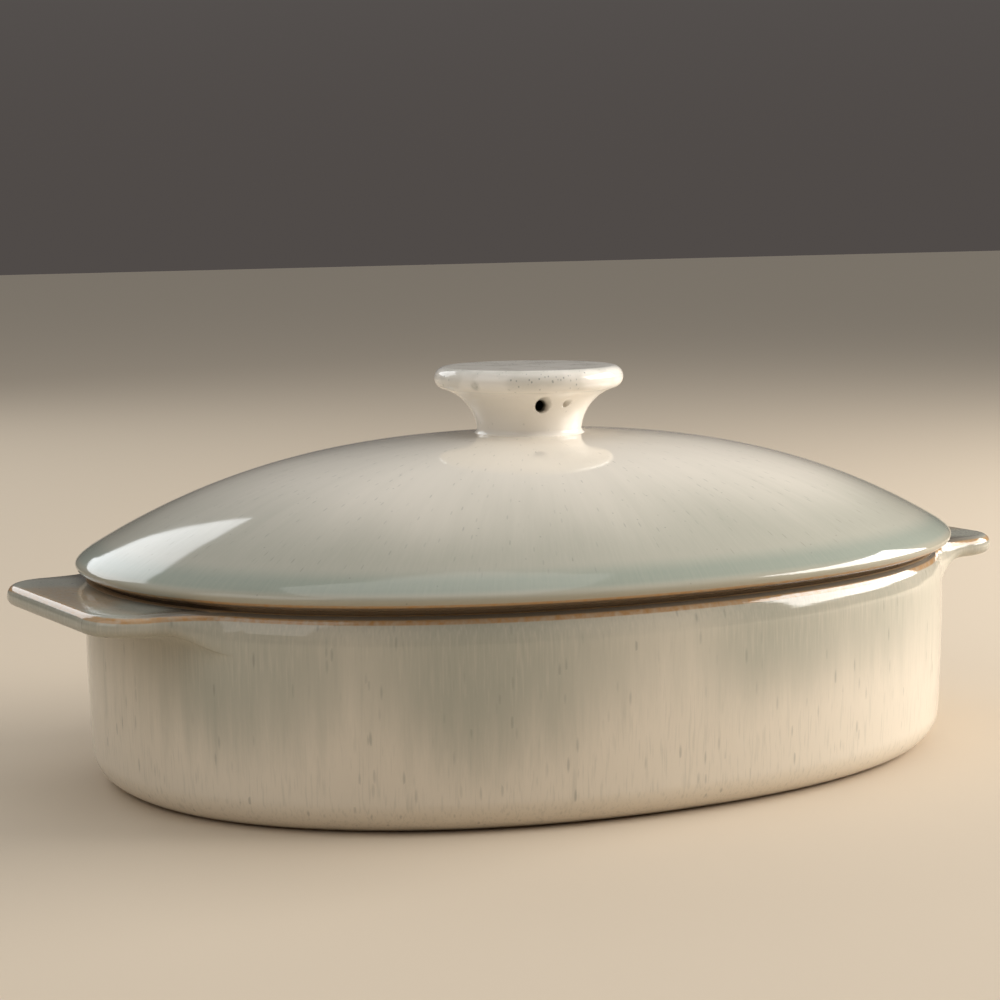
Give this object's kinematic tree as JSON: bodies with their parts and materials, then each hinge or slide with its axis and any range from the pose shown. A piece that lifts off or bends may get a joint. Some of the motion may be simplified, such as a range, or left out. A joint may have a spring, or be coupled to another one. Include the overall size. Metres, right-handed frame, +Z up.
{
  "type": "covered casserole dish",
  "caption": "Oval stoneware casserole dish with side lugs and a domed lid that lifts off by a hollow, vented disc knob.",
  "frame": {"origin": "on the resting surface, under the centre of the oval", "axes": "+X along the oval's length through the lugs, +Y across it, +Z up, the way the lid lifts off"},
  "size_m": [0.32, 0.2178, 0.1226],
  "materials": {
    "dish_glaze": "gloss",
    "lid_glaze": "gloss",
    "knob_glaze": "gloss"
  },
  "bodies": {
    "dish": {"dish": "dish_glaze"},
    "lid": {"lid": "lid_glaze", "lid_knob": "knob_glaze"}
  },
  "joints": [
    {"name": "lid_lift", "type": "slide", "parent": "dish", "child": "lid", "axis": [0, 0, 1], "range_m": [0, 0.15]}
  ]
}
